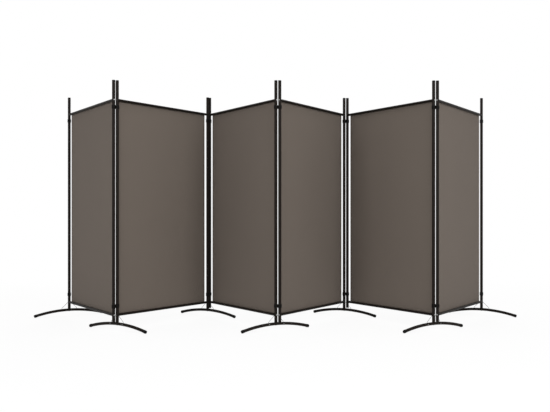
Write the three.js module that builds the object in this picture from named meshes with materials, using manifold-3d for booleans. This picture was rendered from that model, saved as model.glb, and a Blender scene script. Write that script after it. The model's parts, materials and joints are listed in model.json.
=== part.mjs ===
// A folding fabric room divider: six framed cloth panels joined in a zigzag by
// figure-eight clips, and standing on seven arched tube feet.
// Millimetres, Z up. The front is at -Y, and the floor is at Z = 0.

import * as THREE from 'three';
import { mergeVertices } from 'three/addons/utils/BufferGeometryUtils.js';
import Module from 'manifold-3d';

const wasm = await Module();
wasm.setup();

// Driving dimensions of the whole screen
const screenHeight = 1800;
const panelPitch = 1006;

// Plan directions at rest, in degrees from +X: each panel from its left post to
// its right post, and each pair of neighbouring posts from left to right.
const panelTurns = [-57.4, 54.8, -57.1, 57.6, -57.3, 57.4];
const pairTurns = [35, 55, 4, 10, 4];

// Which posts of each panel stand on a foot of their own
const footedSides = [['left'], ['left', 'right'], ['right'], ['right'], ['right'], ['right']];

// Clearances
const seatGap = 0.3;
const turningGap = 0.3;
const floorPostGap = 2;
const cutOverrun = 5;

// Side posts
const postRadius = 11.5;
const postWall = 0.8;
const postGap = 5;
const capHeadHeight = 10;
const capEdge = 1.5;
const plugDepth = 16;
const bottomPlugHead = 2;

// Cross rails
const railRadius = 9.5;
const railWall = 0.8;
const topRailDrop = 142;
const bottomRailHeight = 111;
const railSlotWidth = 2.2;

// Cloth
const clothThickness = 0.8;
const clothStandoff = 2.5;
const clothEdgeGap = 14.5;
const weltRadius = 2.4;
const hemWidth = 15;
const hemThickness = 1.8;

// Bolts through the posts into the rail ends
const boltRadius = 3;
const boltHeadRadius = 5;
const boltHeadRim = 0.5;
const boltHeadHeight = 1.6;
const boltCrownRadius = 2.6;
const insertLength = 13;
const insertOffset = 0.8;

// Hinge clips and end collars
const clipHeight = 25;
const clipWall = 2;
const clipWaist = 5;
const topClipDrop = 51;
const bottomClipRise = 64;

// Feet
const footRadius = 11;
const footWall = 1;
const footHalfSpan = 280;
const footRise = 36;
const footCapRadius = 12;
const footCapHead = 8;
const footCapLap = 12;
const footCapEdge = 2;
const floorFlat = 2;
const footBoltReach = 24;
const postInsertHeight = 22;

// Stays that brace each footed post
const stayRadius = 1.25;
const stayReach = 62;
const stayBend = 6;
const stayCrest = 4;
const stayScrewRadius = 1.7;
const stayScrewHeadRadius = 3.6;
const stayScrewHeadHeight = 2;

// Facets
const postSides = 10;
const railSides = 10;
const boreSides = 10;
const footSides = 8;
const footSteps = 8;
const boltSides = 5;
const staySides = 5;
const arcSides = 12;

// Colours and finishes
const finishes = {
  frame: { color: 0x1f1b18, roughness: 0.45, metalness: 0.3 },
  cloth: { color: 0x665d56, roughness: 0.95, metalness: 0 },
  plastic: { color: 0x151413, roughness: 0.6, metalness: 0 },
};
const materials = Object.fromEntries(
  Object.entries(finishes).map(([name, look]) => [name, new THREE.MeshStandardMaterial(look)]),
);

// Sizes that follow from the ones above
const postSpacing = 2 * postRadius + postGap;
const postBore = postRadius - postWall;
const railBore = railRadius - railWall;
const footBore = footRadius - footWall;
const clothPlane = railRadius + clothStandoff;
const clothStart = postRadius + clothEdgeGap;
const footSweep = Math.atan2(2 * footHalfSpan * footRise, footHalfSpan ** 2 - footRise ** 2);
const footArcRadius = footHalfSpan / Math.sin(footSweep);
const footEndHeight =
  footCapRadius * Math.cos(footSweep) + (footCapHead - footCapEdge) * Math.sin(footSweep) - floorFlat;
const footMiddle = footEndHeight + footRise;
const footTop = footMiddle + footRadius;
const postTop = screenHeight - capHeadHeight;
const topRailHeight = screenHeight - topRailDrop;
const hangingPostBottom = footTop + floorPostGap + bottomPlugHead;
const stayPeak = bottomRailHeight + boltRadius + seatGap + stayRadius;
const stayKnee = footHeightAt(stayReach) + footRadius + stayBend;
const clipOuterRadius = circumscribed(postRadius + turningGap, boreSides) + clipWall;
const clipHeights = { bottom: bottomRailHeight + bottomClipRise, top: topRailHeight - topClipDrop };
const railHeights = [bottomRailHeight, topRailHeight];

// The corner radius of a polygon whose flats lie at the given radius
function circumscribed(radius, sides) {
  return radius / Math.cos(Math.PI / sides);
}

// The height of a foot's centre line at a distance from its post
function footHeightAt(distance) {
  return footMiddle - footArcRadius + Math.sqrt(footArcRadius ** 2 - distance ** 2);
}

function toSolid(geometry) {
  const shape = geometry.clone();
  shape.deleteAttribute('normal');
  shape.deleteAttribute('uv');
  const merged = mergeVertices(shape);
  const vertProperties = Float32Array.from(merged.getAttribute('position').array);
  const triVerts = Uint32Array.from(merged.getIndex().array);
  return new wasm.Manifold(new wasm.Mesh({ numProp: 3, vertProperties, triVerts }));
}

function toGeometry(solid) {
  const mesh = solid.getMesh();
  const geometry = new THREE.BufferGeometry();
  geometry.setAttribute('position', new THREE.BufferAttribute(Float32Array.from(mesh.vertProperties), 3));
  geometry.setIndex(new THREE.BufferAttribute(Uint32Array.from(mesh.triVerts), 1));
  geometry.computeVertexNormals();
  return geometry;
}

function joined(solids) {
  return solids.reduce((whole, piece) => whole.add(piece));
}

// A body turned about Z from [radius, height] pairs, raised to the given height
function turned(profile, sides, height = 0) {
  const outline = profile.map(([radius, level]) => new THREE.Vector2(radius, level));
  const geometry = new THREE.LatheGeometry(outline, sides);
  geometry.rotateX(Math.PI / 2);
  geometry.translate(0, 0, height);
  return geometry;
}

function pin(radius, bottom, top, sides) {
  return turned([[0, bottom], [radius, bottom], [radius, top], [0, top]], sides);
}

function pipe(outer, inner, bottom, top, sides) {
  return turned([[inner, bottom], [outer, bottom], [outer, top], [inner, top], [inner, bottom]], sides);
}

// A button-headed bolt along +Z, with its head's seat at Z = 0
function bolt(length) {
  return turned([
    [0, -boltHeadHeight],
    [boltCrownRadius, -boltHeadHeight],
    [boltHeadRadius, -boltHeadRim],
    [boltHeadRadius, 0],
    [boltRadius, 0],
    [boltRadius, length],
    [0, length],
  ], boltSides);
}

// Lays a body made along +Z so that it points along the given direction from a place
function aimed(geometry, direction, place) {
  const turn = new THREE.Quaternion().setFromUnitVectors(
    new THREE.Vector3(0, 0, 1),
    new THREE.Vector3(...direction).normalize(),
  );
  geometry.applyQuaternion(turn);
  geometry.translate(...place);
  return toSolid(geometry);
}

// The arc of a foot's centre line, in the YZ plane
class FootArc extends THREE.Curve {
  getPoint(share, target = new THREE.Vector3()) {
    const angle = (2 * share - 1) * footSweep;
    const height = footMiddle - footArcRadius * (1 - Math.cos(angle));
    return target.set(0, footArcRadius * Math.sin(angle), height);
  }
}

function ring(path, radius, sides) {
  for (let side = 0; side < sides; side += 1) {
    const angle = (2 * Math.PI * side) / sides;
    const point = [radius * Math.cos(angle), radius * Math.sin(angle)];
    if (side === 0) path.moveTo(...point);
    else path.lineTo(...point);
  }
  path.closePath();
  return path;
}

// A rod along a curve, or a tube where a bore is given
function swept(radius, bore, sides, path, steps) {
  const section = ring(new THREE.Shape(), radius, sides);
  if (bore > 0) section.holes.push(ring(new THREE.Path(), bore, sides));
  return toSolid(new THREE.ExtrudeGeometry(section, { steps, extrudePath: path, bevelEnabled: false }));
}

// The centre line of a stay: over the rail's bolt inside the post, straight down to
// each side, and turned down into the foot
class StayLine extends THREE.Curve {
  constructor() {
    super();
    const fall = new THREE.Vector2(stayReach - stayCrest, stayKnee - stayPeak).setLength(stayBend);
    const half = [
      [stayCrest, stayPeak],
      [stayReach - fall.x, stayKnee - fall.y],
      [stayReach, stayKnee - stayBend],
      [stayReach, footHeightAt(stayReach)],
    ];
    const mirrored = half.map(([distance, height]) => [-distance, height]).reverse();
    this.corners = [...mirrored, ...half].map(([distance, height]) => new THREE.Vector3(0, distance, height));
  }

  getPoint(share, target = new THREE.Vector3()) {
    const place = share * this.steps;
    const index = Math.min(Math.floor(place), this.steps - 1);
    return target.lerpVectors(this.corners[index], this.corners[index + 1], place - index);
  }

  // Equal shares of the line run from corner to corner, however far apart those lie
  getUtoTmapping(share) {
    return share;
  }

  get steps() {
    return this.corners.length - 1;
  }
}

function stay() {
  const line = new StayLine();
  return swept(stayRadius, 0, staySides, line, line.steps);
}

// The holes through the post's walls for the stay's two legs
function stayHoles() {
  const radius = circumscribed(stayRadius + seatGap, staySides);
  return joined([-1, 1].map((side) => {
    const leg = new THREE.Vector3(0, side * (stayReach - stayCrest), stayKnee - stayPeak);
    return aimed(pin(radius, 0, leg.length(), staySides), leg.toArray(), [0, side * stayCrest, stayPeak]);
  }));
}

// A foot under a post at the origin, with its end caps, its bolt and the two screws
// that grip the stay. Outward is -1 or 1 along X, away from the cloth.
function foot(outward) {
  const shell = swept(footRadius, footBore, footSides, new FootArc(), footSteps).subtract(stayEndHoles());
  const footBolt = bolt(2 * footRadius + insertOffset + footBoltReach);
  footBolt.translate(0, 0, footMiddle - footRadius);
  const ends = [-1, 1];
  const screws = ends.map((end) => stayScrew(end, outward));
  const whole = joined([shell, toSolid(footBolt), ...ends.map(footCap), ...screws]);
  const floorSize = footHalfSpan + footCapHead + cutOverrun;
  const floor = new THREE.BoxGeometry(2 * floorSize, 2 * floorSize, floorSize);
  floor.translate(0, 0, -floorSize / 2);
  return whole.subtract(toSolid(floor));
}

// A domed cap over a foot's end
function footCap(side) {
  const profile = [
    [0, -footCapLap],
    [footCapRadius, -footCapLap],
    [footCapRadius, footCapHead - footCapEdge],
    [footCapRadius - footCapEdge, footCapHead],
    [0, footCapHead],
  ];
  const direction = [0, side * Math.cos(footSweep), -Math.sin(footSweep)];
  return aimed(turned(profile, footSides), direction, [0, side * footHalfSpan, footEndHeight]);
}

// A pan-headed screw through the foot's outward wall, up to the end of the stay
function stayScrew(side, outward) {
  const seat = footRadius * Math.cos(Math.PI / footSides);
  const shape = turned([
    [0, -stayScrewHeadHeight],
    [stayScrewHeadRadius, -stayScrewHeadHeight],
    [stayScrewHeadRadius, 0],
    [stayScrewRadius, 0],
    [stayScrewRadius, seat - stayRadius - seatGap],
    [0, seat - stayRadius - seatGap],
  ], boltSides);
  return aimed(shape, [-outward, 0, 0], [outward * seat, side * stayReach, footHeightAt(stayReach)]);
}

// The holes in the foot's top for the turned ends of the stay
function stayEndHoles() {
  const radius = circumscribed(stayRadius + seatGap, staySides);
  return joined([-1, 1].map((side) => {
    const hole = pin(radius, footHeightAt(stayReach), stayKnee, staySides);
    return aimed(hole, [0, 0, 1], [0, side * stayReach, 0]);
  }));
}

// A post tube with the plugs in its ends, drilled for its two rail bolts and, where it
// stands on a foot, saddled to that foot, threaded for its bolt and drilled for its stay
function post(footed) {
  const bottom = footed ? footMiddle : hangingPostBottom;
  const tube = toSolid(pipe(postRadius, postBore, bottom, postTop, postSides));
  let shape = tube.add(topPlug()).add(footed ? postInsert() : bottomPlug());
  for (const height of railHeights) {
    const hole = pin(boltRadius + seatGap, -postRadius - cutOverrun, postRadius + cutOverrun, boltSides);
    shape = shape.subtract(aimed(hole, [1, 0, 0], [0, 0, height]));
  }
  if (footed) {
    const saddle = pin(circumscribed(footRadius + seatGap, footSides), -postRadius, postRadius, footSides);
    shape = shape.subtract(aimed(saddle, [0, 1, 0], [0, 0, footMiddle])).subtract(stayHoles());
  }
  return shape;
}

function topPlug() {
  const shank = postBore + postWall / 2;
  return toSolid(turned([
    [0, -plugDepth],
    [shank, -plugDepth],
    [shank, 0],
    [postRadius, 0],
    [postRadius, capHeadHeight - capEdge],
    [postRadius - capEdge, capHeadHeight],
    [0, capHeadHeight],
  ], postSides, postTop));
}

function bottomPlug() {
  const shank = postBore + postWall / 2;
  return toSolid(turned([
    [0, -bottomPlugHead],
    [postRadius, -bottomPlugHead],
    [postRadius, 0],
    [shank, 0],
    [shank, plugDepth],
    [0, plugDepth],
  ], postSides, hangingPostBottom));
}

// The threaded insert that takes a foot's bolt
function postInsert() {
  const bore = circumscribed(boltRadius + seatGap, boltSides);
  const bottom = footTop + insertOffset;
  return toSolid(pipe(postBore + postWall / 2, bore, bottom, bottom + postInsertHeight, postSides));
}

// A rail between the two posts, coped to them, slotted along its back for the cloth,
// and drawn up to each post by a bolt from the post's far side
function rail(height) {
  let shape = aimed(pipe(railRadius, railBore, 0, panelPitch, railSides), [1, 0, 0], [0, 0, height]);
  const slot = new THREE.BoxGeometry(panelPitch, railRadius + cutOverrun, railSlotWidth);
  slot.translate(panelPitch / 2, (railRadius + cutOverrun) / 2, height);
  shape = shape.subtract(toSolid(slot));
  const cope = circumscribed(postRadius + seatGap, postSides);
  for (const [place, inward] of [[0, 1], [panelPitch, -1]]) {
    const cutter = pin(cope, height - railRadius - cutOverrun, height + railRadius + cutOverrun, postSides);
    shape = shape.subtract(aimed(cutter, [0, 0, 1], [place, 0, 0]));
    shape = shape.add(railInsert(place, inward, height)).add(railBolt(place, inward, height));
  }
  return shape;
}

// The threaded insert in a rail's end. Inward is 1 at the left end and -1 at the right.
function railInsert(place, inward, height) {
  const insert = pin(railBore + railWall / 2, 0, insertLength, railSides);
  return aimed(insert, [inward, 0, 0], [place + inward * (postRadius + insertOffset), 0, height]);
}

function railBolt(place, inward, height) {
  const seat = postRadius + seatGap;
  const shank = bolt(seat + postRadius + insertOffset + insertLength / 2);
  return aimed(shank, [inward, 0, 0], [place - inward * seat, 0, height]);
}

// The section of the cloth's edge along a rail: a flat tongue through the rail's slot
// with a welt that the slot holds. Side is 1 at the top edge and -1 at the bottom.
function edgeOutline(height, side) {
  const half = clothThickness / 2;
  const welt = railBore * Math.cos(Math.PI / railSides) - seatGap - weltRadius;
  return [
    [clothPlane + half, height + side * half],
    [welt + weltRadius, height + side * half],
    [welt, height + side * weltRadius],
    [welt - weltRadius, height],
    [welt, height - side * weltRadius],
    [welt + weltRadius, height - side * half],
    [clothPlane - half, height - side * half],
  ];
}

// The cloth of a panel: one taut sheet between the welts in the two rails' slots, with
// a hem folded round each side
function cloth() {
  const width = panelPitch - 2 * clothStart;
  const sheetWidth = width - hemThickness;
  const section = [...edgeOutline(topRailHeight, 1), ...edgeOutline(bottomRailHeight, -1).reverse()];
  const outline = new THREE.Shape(section.map(([depth, height]) => new THREE.Vector2(depth, height)));
  const sheet = new THREE.ExtrudeGeometry(outline, { depth: sheetWidth, bevelEnabled: false });
  sheet.applyMatrix4(new THREE.Matrix4().makeBasis(
    new THREE.Vector3(0, 1, 0),
    new THREE.Vector3(0, 0, 1),
    new THREE.Vector3(1, 0, 0),
  ));
  sheet.translate((panelPitch - sheetWidth) / 2, 0, 0);
  const hems = [0, width - hemWidth].map((place) => {
    const hem = new THREE.BoxGeometry(hemWidth, hemThickness, topRailHeight - bottomRailHeight - 2 * railRadius);
    hem.translate(clothStart + place + hemWidth / 2, clothPlane, (topRailHeight + bottomRailHeight) / 2);
    return toSolid(hem);
  });
  return joined([toSolid(sheet), ...hems]);
}

// A figure-eight clip around two posts, the first at the origin and the second along +X
function hingeClip(height) {
  const waist = Math.asin(clipWaist / clipOuterRadius);
  const outline = new THREE.Shape();
  outline.absarc(0, 0, clipOuterRadius, waist, 2 * Math.PI - waist, false);
  outline.absarc(postSpacing, 0, clipOuterRadius, Math.PI + waist, 3 * Math.PI - waist, false);
  outline.closePath();
  return extrudedClip(outline, [0, postSpacing], height);
}

// A single collar around a post that stands at the screen's end
function endCollar(height) {
  const outline = new THREE.Shape();
  outline.absarc(0, 0, clipOuterRadius, 0, 2 * Math.PI, false);
  return extrudedClip(outline, [0], height);
}

function extrudedClip(outline, places, height) {
  const boreRadius = circumscribed(postRadius + turningGap, boreSides);
  // An arc is cut into twice as many sides as the curve segments asked for
  const options = { depth: clipHeight, bevelEnabled: false, curveSegments: arcSides / 2 };
  const body = new THREE.ExtrudeGeometry(outline, options);
  body.translate(0, 0, height - clipHeight / 2);
  let shape = toSolid(body);
  for (const place of places) {
    const bore = pin(boreRadius, height - clipHeight, height + clipHeight, boreSides);
    shape = shape.subtract(aimed(bore, [0, 0, 1], [place, 0, 0]));
  }
  return shape;
}

function named(name, solid, finish) {
  const mesh = new THREE.Mesh(toGeometry(solid), materials[finish]);
  mesh.name = name;
  return mesh;
}

// One framed panel, with its left post at the origin and its right post along +X.
// The cloth hangs behind the rails, at +Y.
function panel(number, footed, firstFoot) {
  const label = `panel_${number}`;
  const group = new THREE.Group();
  const ends = { left: { place: 0, outward: -1 }, right: { place: panelPitch, outward: 1 } };
  let footNumber = firstFoot;
  for (const [side, { place, outward }] of Object.entries(ends)) {
    const column = new THREE.Group();
    column.position.x = place;
    group.add(column);
    const standing = footed.includes(side);
    column.add(named(`${label}_${side}_post`, post(standing), 'frame'));
    if (standing) {
      column.add(named(`foot_${footNumber}`, foot(outward), 'frame'));
      column.add(named(`stay_${footNumber}`, stay(), 'frame'));
      footNumber += 1;
    }
    const joinedOn = number + (side === 'left' ? -1 : 1);
    if (joinedOn < 1 || joinedOn > panelTurns.length) {
      for (const [level, height] of Object.entries(clipHeights)) {
        column.add(named(`${side}_end_${level}_collar`, endCollar(height), 'plastic'));
      }
    }
  }
  group.add(named(`${label}_top_rail`, rail(topRailHeight), 'frame'));
  group.add(named(`${label}_bottom_rail`, rail(bottomRailHeight), 'frame'));
  group.add(named(`${label}_fabric`, cloth(), 'cloth'));
  return group;
}

// The clips that join a pair of posts, the first at the origin and the second along +X
function hinge(number) {
  const group = new THREE.Group();
  for (const [level, height] of Object.entries(clipHeights)) {
    group.add(named(`hinge_${number}_${level}_clip`, hingeClip(height), 'plastic'));
  }
  return group;
}

// The whole screen: panels and clips laid end to end along their plan directions
function divider() {
  const screen = new THREE.Group();
  const corner = new THREE.Vector3();
  let nextFoot = 1;
  panelTurns.forEach((panelTurn, index) => {
    const panelAngle = THREE.MathUtils.degToRad(panelTurn);
    const frame = panel(index + 1, footedSides[index], nextFoot);
    nextFoot += footedSides[index].length;
    frame.position.copy(corner);
    frame.rotation.z = panelAngle;
    screen.add(frame);
    corner.x += panelPitch * Math.cos(panelAngle);
    corner.y += panelPitch * Math.sin(panelAngle);
    if (index < pairTurns.length) {
      const pairAngle = THREE.MathUtils.degToRad(pairTurns[index]);
      const clips = hinge(index + 1);
      clips.position.copy(corner);
      clips.rotation.z = pairAngle;
      screen.add(clips);
      corner.x += postSpacing * Math.cos(pairAngle);
      corner.y += postSpacing * Math.sin(pairAngle);
    }
  });
  const middle = new THREE.Box3().setFromObject(screen, true).getCenter(new THREE.Vector3());
  screen.position.set(-middle.x, -middle.y, 0);
  return screen;
}

export default divider();
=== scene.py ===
"""A folding fabric room divider: six framed cloth panels in a zigzag on arched tube feet.

The frame gives the place of every post, rail, clip and foot. The classes below model each
piece finely in the frame of its own post or panel, set it down there, and dress it in
powder coat, moulded plastic, bright zinc, woven cloth or sewing thread.
"""

import json
import logging
import math
from collections.abc import Callable, Iterator
from contextlib import contextmanager
from dataclasses import dataclass, field
from enum import Enum

import bmesh
import bpy
from mathutils import Euler, Matrix, Vector, noise

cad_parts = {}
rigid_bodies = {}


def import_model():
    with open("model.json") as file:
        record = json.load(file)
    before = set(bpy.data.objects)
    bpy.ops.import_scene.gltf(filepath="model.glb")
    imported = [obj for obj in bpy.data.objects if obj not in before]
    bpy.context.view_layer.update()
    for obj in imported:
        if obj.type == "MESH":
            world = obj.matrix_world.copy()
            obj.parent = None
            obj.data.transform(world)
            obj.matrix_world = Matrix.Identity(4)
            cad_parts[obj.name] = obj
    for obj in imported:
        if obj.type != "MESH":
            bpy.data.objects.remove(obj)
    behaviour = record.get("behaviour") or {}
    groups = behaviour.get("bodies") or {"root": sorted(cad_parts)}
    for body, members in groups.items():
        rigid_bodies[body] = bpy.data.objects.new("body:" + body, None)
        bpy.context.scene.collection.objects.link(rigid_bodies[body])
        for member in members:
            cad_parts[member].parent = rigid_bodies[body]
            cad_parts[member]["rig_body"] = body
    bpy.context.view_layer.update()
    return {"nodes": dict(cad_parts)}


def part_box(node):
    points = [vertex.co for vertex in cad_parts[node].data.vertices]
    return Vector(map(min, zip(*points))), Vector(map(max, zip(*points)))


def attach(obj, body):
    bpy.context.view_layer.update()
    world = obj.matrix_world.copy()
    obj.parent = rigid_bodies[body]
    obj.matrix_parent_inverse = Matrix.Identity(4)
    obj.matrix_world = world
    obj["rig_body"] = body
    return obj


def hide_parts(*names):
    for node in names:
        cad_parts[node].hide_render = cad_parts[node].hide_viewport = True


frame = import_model()

log = logging.getLogger("divider")

MM = 0.001
PANELS = 6
HINGES = 5
FEET = 7

# The gap at a seat, the gap of a pushed-in piece, and the gap between an insert and its seat
CLEARANCE = 0.3 * MM
FIT = 0.05 * MM
INSERT_GAP = 0.8 * MM

# How far a cutter runs past its work, how near two places are one, and how squarely faces are picked
OVERRUN = 5 * MM
CLOSE = 0.01 * MM
DOUBLED = 0.001 * MM
SQUARE_ON = 0.9

DRILL_SIDES = 24
WIRE_SIDES = 16
SOFT_ANGLE = 60.0
NOISE_ROUGHNESS = 0.55
WEAVE_MAP = "weave"
UP = Vector((0, 0, 1))

Colour = tuple[float, float, float, float]
WHITE: Colour = (1.0, 1.0, 1.0, 1.0)


def painted(red: int, green: int, blue: int) -> Colour:
    """A colour as the eye reads it, turned into the linear light of a shader.

    Args:
        red: Red, from 0 to 255.
        green: Green, from 0 to 255.
        blue: Blue, from 0 to 255.

    Returns:
        The linear colour, opaque.
    """
    shares = [channel / 255 for channel in (red, green, blue)]
    linear = [s / 12.92 if s <= 0.04045 else ((s + 0.055) / 1.055) ** 2.4 for s in shares]
    return (*linear, 1.0)


class Along(Enum):
    """The axis that a rod lies along, as the turns that bring an upright rod to it."""

    X = (0.0, math.pi / 2, 0.0)
    Y = (-math.pi / 2, 0.0, 0.0)
    Z = (0.0, 0.0, 0.0)


class Pick(Enum):
    """What a selection in edit mode is made of."""

    FACES = "FACE"
    EDGES = "EDGE"


class Side(Enum):
    """The two ends of a panel, by the names of their posts."""

    LEFT = "left"
    RIGHT = "right"


class Level(Enum):
    """The two rails of a panel, from the floor up."""

    BOTTOM = "bottom"
    TOP = "top"


class Workpiece:
    """A mesh on the bench, shaped with the usual modelling operators."""

    def __init__(self) -> None:
        """Takes the object that the last primitive left active, with its place in its mesh."""
        bpy.ops.object.transform_apply(location=True, rotation=True, scale=True)
        self.body: bpy.types.Object = bpy.context.object

    @classmethod
    def rod(
        cls,
        radius: float,
        start: float,
        end: float,
        along: Along = Along.Z,
        sides: int = 32,
        closed: bool = True,
        centre: Vector | None = None,
    ) -> "Workpiece":
        """A round rod along an axis.

        Args:
            radius: Its radius.
            start: Where it starts along its axis, from the centre.
            end: Where it ends.
            along: The axis.
            sides: How many flats stand for the round.
            closed: Whether the ends have faces.
            centre: The point that the axis passes through, at first the origin.

        Returns:
            The rod.
        """
        middle = Vector((0, 0, (start + end) / 2))
        middle.rotate(Euler(along.value))
        bpy.ops.object.select_all(action="DESELECT")
        bpy.ops.mesh.primitive_cylinder_add(
            vertices=sides,
            radius=radius,
            depth=end - start,
            end_fill_type="NGON" if closed else "NOTHING",
            location=middle + (centre or Vector()),
            rotation=along.value,
        )
        return cls()

    @classmethod
    def block(cls, size: Vector, centre: Vector) -> "Workpiece":
        """A block of a size about a centre."""
        bpy.ops.object.select_all(action="DESELECT")
        bpy.ops.mesh.primitive_cube_add(size=1, location=centre, scale=size)
        return cls()

    @classmethod
    def hoop(cls, radius: float, sides: int, centre: Vector, along: Vector) -> "Workpiece":
        """An open ring of edges.

        Args:
            radius: Its radius.
            sides: How many edges it has.
            centre: Its middle.
            along: The direction that it faces.

        Returns:
            The ring.
        """
        bpy.ops.object.select_all(action="DESELECT")
        bpy.ops.mesh.primitive_circle_add(
            vertices=sides,
            radius=radius,
            fill_type="NOTHING",
            location=centre,
            rotation=along.to_track_quat("Z", "X").to_euler(),
        )
        return cls()

    def shift(self, place: Matrix) -> None:
        """Moves and turns the mesh itself."""
        self.body.data.transform(place)
        self.body.data.update()

    def choose(self) -> None:
        """Selects this piece alone and makes it the active one."""
        bpy.ops.object.select_all(action="DESELECT")
        self.body.select_set(True)
        bpy.context.view_layer.objects.active = self.body

    @contextmanager
    def editing(self) -> Iterator[None]:
        """Edit mode on this piece alone, with nothing selected at first.

        Yields:
            Once, while the mesh is open.
        """
        self.choose()
        bpy.ops.object.mode_set(mode="EDIT")
        bpy.ops.mesh.select_all(action="DESELECT")
        yield
        bpy.ops.object.mode_set(mode="OBJECT")

    def pick(self, kind: Pick, wanted: Callable[[Vector, Vector], bool]) -> None:
        """Selects what passes a test, and nothing else, in edit mode.

        Args:
            kind: Faces or edges.
            wanted: The test, which is given the middle and the normal of each. An edge's
                normal is its direction.
        """
        bpy.ops.mesh.select_mode(type=kind.value)
        bpy.ops.mesh.select_all(action="DESELECT")
        mesh = bmesh.from_edit_mesh(self.body.data)
        if kind is Pick.FACES:
            found = [f for f in mesh.faces if wanted(f.calc_center_median(), f.normal)]
        else:
            ends = [(e, e.verts[0].co, e.verts[1].co) for e in mesh.edges]
            found = [e for e, a, b in ends if wanted((a + b) / 2, (b - a).normalized())]
        for element in found:
            element.select_set(True)
        mesh.select_flush_mode()
        bmesh.update_edit_mesh(self.body.data)

    def modify(self, kind: str, **settings: object) -> None:
        """Adds a modifier and applies it.

        Args:
            kind: The modifier's type.
            **settings: Its settings by name.
        """
        modifier = self.body.modifiers.new(kind.title(), kind)
        for name, value in settings.items():
            setattr(modifier, name, value)
        self.choose()
        bpy.ops.object.modifier_apply(modifier=modifier.name)

    def hollow(self, wall: float) -> None:
        """Gives an open skin its wall, inwards."""
        self.modify("SOLIDIFY", thickness=wall, offset=-1, use_even_offset=True)

    def cut(self, *tools: "Workpiece") -> None:
        """Takes the space of each tool away, and uses the tools up."""
        self.combine("DIFFERENCE", tools)

    def add(self, *parts: "Workpiece") -> None:
        """Joins each part to this one as one solid, and uses the parts up."""
        self.combine("UNION", parts)

    def combine(self, operation: str, others: tuple["Workpiece", ...]) -> None:
        """Cuts this solid by others or joins them to it, one by one, and uses them up.

        Args:
            operation: The name of the boolean.
            others: The other solids.
        """
        for other in others:
            self.modify("BOOLEAN", operation=operation, solver="EXACT", object=other.body)
            other.discard()

    def round_rims(self, width: float, steps: int = 2, least_angle: float = 60.0) -> None:
        """Rounds the sharp edges.

        Args:
            width: How far the rounding reaches from each edge.
            steps: How many facets it has.
            least_angle: The angle in degrees past which an edge is sharp.
        """
        self.modify(
            "BEVEL",
            width=width,
            segments=steps,
            limit_method="ANGLE",
            angle_limit=math.radians(least_angle),
        )

    def face_outwards(self) -> None:
        """Merges doubled points and turns every face outwards."""
        with self.editing():
            bpy.ops.mesh.select_all(action="SELECT")
            bpy.ops.mesh.remove_doubles(threshold=DOUBLED)
            bpy.ops.mesh.normals_make_consistent(inside=False)

    def smooth(self, angle: float = 35.0) -> None:
        """Shades smooth every edge below an angle in degrees."""
        self.choose()
        bpy.ops.object.shade_smooth_by_angle(angle=math.radians(angle))

    def complete(self, angle: float = 35.0) -> "Workpiece":
        """Turns the shaped mesh outwards and shades it smooth.

        Args:
            angle: The angle in degrees below which an edge is smooth.

        Returns:
            The piece itself.
        """
        self.face_outwards()
        self.smooth(angle)
        return self

    def discard(self) -> None:
        """Clears the piece off the bench."""
        mesh = self.body.data
        bpy.data.objects.remove(self.body)
        bpy.data.meshes.remove(mesh)


class Wire:
    """A shader socket that takes part in sums as a number does."""

    def __init__(self, graph: "Graph", socket: bpy.types.NodeSocket) -> None:
        """Holds one output of a node."""
        self.graph = graph
        self.socket = socket

    def twin(self, name: str) -> "Wire":
        """Another output of the same node."""
        return Wire(self.graph, self.socket.node.outputs[name])

    def __add__(self, other: "Wire | float") -> "Wire":
        """This plus the other."""
        return self.graph.maths("ADD", self, other)

    __radd__ = __add__

    def __sub__(self, other: "Wire | float") -> "Wire":
        """This less the other."""
        return self.graph.maths("SUBTRACT", self, other)

    def __rsub__(self, other: "Wire | float") -> "Wire":
        """The other less this."""
        return self.graph.maths("SUBTRACT", other, self)

    def __mul__(self, other: "Wire | float") -> "Wire":
        """This times the other."""
        return self.graph.maths("MULTIPLY", self, other)

    __rmul__ = __mul__

    def __truediv__(self, other: "Wire | float") -> "Wire":
        """This over the other."""
        return self.graph.maths("DIVIDE", self, other)

    def __mod__(self, other: "Wire | float") -> "Wire":
        """What is left of this after whole counts of the other."""
        return self.graph.maths("FLOORED_MODULO", self, other)

    def __gt__(self, other: "Wire | float") -> "Wire":
        """1 where this is above the other, and 0 elsewhere."""
        return self.graph.maths("GREATER_THAN", self, other)

    def __lt__(self, other: "Wire | float") -> "Wire":
        """1 where this is below the other, and 0 elsewhere."""
        return self.graph.maths("LESS_THAN", self, other)


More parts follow.
